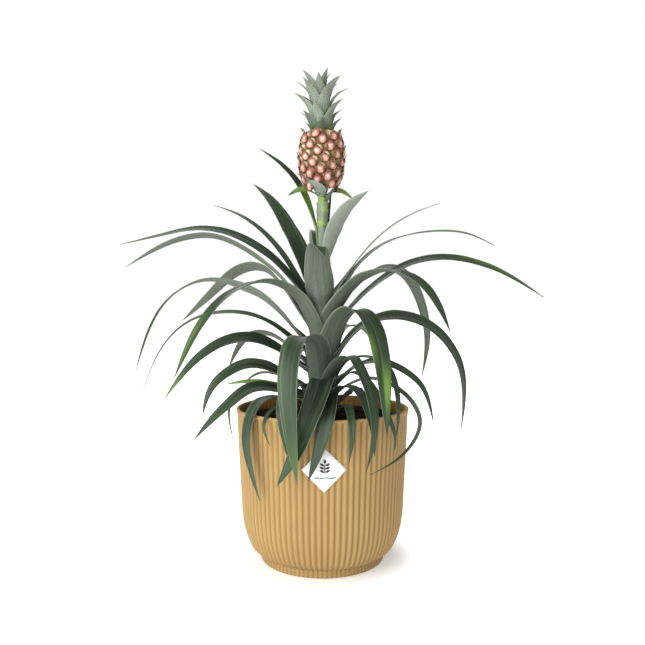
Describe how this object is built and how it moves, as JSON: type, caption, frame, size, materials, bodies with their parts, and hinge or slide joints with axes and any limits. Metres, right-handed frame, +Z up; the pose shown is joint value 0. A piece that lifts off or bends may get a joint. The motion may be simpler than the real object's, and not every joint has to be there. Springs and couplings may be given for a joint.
{
  "type": "potted pineapple plant",
  "caption": "Ornamental pineapple plant with arching narrow leaves and one small crowned fruit on a stalk, in soil inside a round ribbed plastic pot with a flared foot.",
  "frame": {"origin": "centre of the pot's flat underside, on the surface it stands on", "axes": "+Z up along the pot and stem; -Y is the front, where the pot's diamond label is; +X is to the right seen from the front"},
  "size_m": [0.3476, 0.2049, 0.3957],
  "materials": {
    "leaf": "waxy grey-green blade with fine parallel veins, paler underneath",
    "dry_leaf": "dead, dark brown and shrivelled",
    "bract": "mealy pale green",
    "stem": "lime green under a mealy bloom",
    "fruit_skin": "salmon-pink eyes with brown-red bract edges, satin",
    "crown_leaf": "mealy grey-green leaflets",
    "butter_plastic": "butter-tan moulded plastic, fine matt grain",
    "black_plastic": "thin black nursery plastic",
    "potting_soil": "dark granular peat",
    "label_paper": "white coated paper with a plain sprig motif"
  },
  "bodies": {
    "root": {"bract_front": "bract", "bract_hooked": "bract", "bract_left": "bract", "bract_right": "bract", "bract_small": "bract", "crown": "crown_leaf", "decorative_pot": "butter_plastic", "fruit": "fruit_skin", "leaf_back_left_low": "leaf", "leaf_back_middle": "leaf", "leaf_back_right": "leaf", "leaf_back_right_low": "leaf", "leaf_back_top": "leaf", "leaf_centre_sheath": "leaf", "leaf_front_left": "leaf", "leaf_front_low": "leaf", "leaf_front_middle": "leaf", "leaf_front_right": "leaf", "leaf_front_right_inner": "leaf", "leaf_front_right_low": "leaf", "leaf_front_small": "leaf", "leaf_front_tucked": "leaf", "leaf_left_arched": "leaf", "leaf_left_back_pale": "leaf", "leaf_left_curled": "leaf", "leaf_left_hanging": "leaf", "leaf_left_hooked": "leaf", "leaf_left_lime": "leaf", "leaf_left_long": "leaf", "leaf_left_long_pale": "leaf", "leaf_left_low": "leaf", "leaf_left_middle": "leaf", "leaf_left_middle_pale": "leaf", "leaf_left_slim_upright": "leaf", "leaf_left_small_pale": "leaf", "leaf_left_thread": "leaf", "leaf_left_top_broad": "leaf", "leaf_left_top_slim": "leaf", "leaf_left_tucked": "leaf", "leaf_left_turned": "leaf", "leaf_right_arched": "leaf", "leaf_right_back_pale": "leaf", "leaf_right_broad": "leaf", "leaf_right_folded": "leaf", "leaf_right_forked": "leaf", "leaf_right_hair": "leaf", "leaf_right_long": "leaf", "leaf_right_low": "leaf", "leaf_right_ribbon": "leaf", "leaf_right_slim": "leaf", "leaf_right_sliver": "leaf", "leaf_right_top": "leaf", "leaf_withered": "dry_leaf", "nursery_pot": "black_plastic", "pot_label": "label_paper", "root_ball_soil": "potting_soil", "stem": "stem"}
  },
  "joints": []
}
